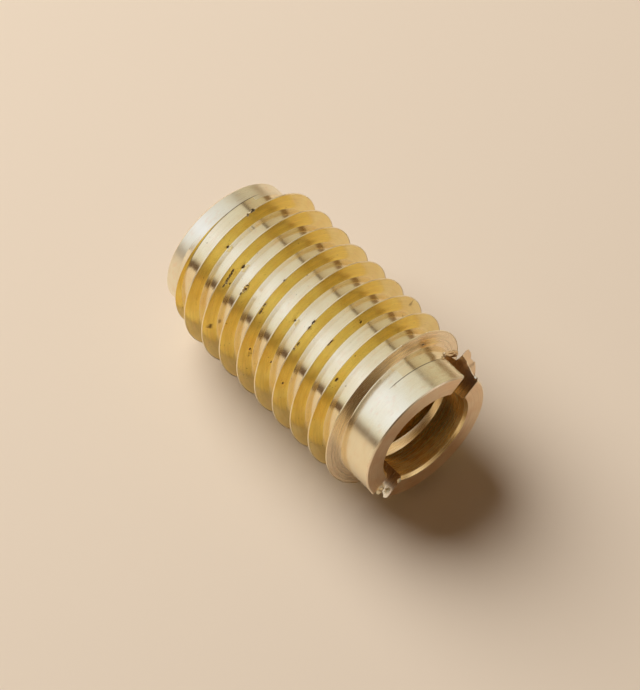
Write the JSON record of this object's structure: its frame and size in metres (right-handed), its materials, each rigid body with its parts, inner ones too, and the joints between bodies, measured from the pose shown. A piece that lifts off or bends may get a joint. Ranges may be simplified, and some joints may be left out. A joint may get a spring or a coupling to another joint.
{
  "type": "threaded insert",
  "caption": "Solid brass knife-thread insert: a tapped sleeve with a coarse sharp outer thread for wood and a screwdriver slot across its counterbored end.",
  "frame": {"origin": "centre of the pilot end's face, on the bore axis, where the insert stands on its end", "axes": "+Z along the bore axis from the pilot end to the slotted end; the screwdriver slot runs along Y"},
  "size_m": [0.0112, 0.0112, 0.0192],
  "materials": {
    "turned_brass": "bright as turned, with fine tool lines and small nicks on the thread"
  },
  "bodies": {
    "root": {"insert_sleeve": "turned_brass"}
  },
  "joints": []
}
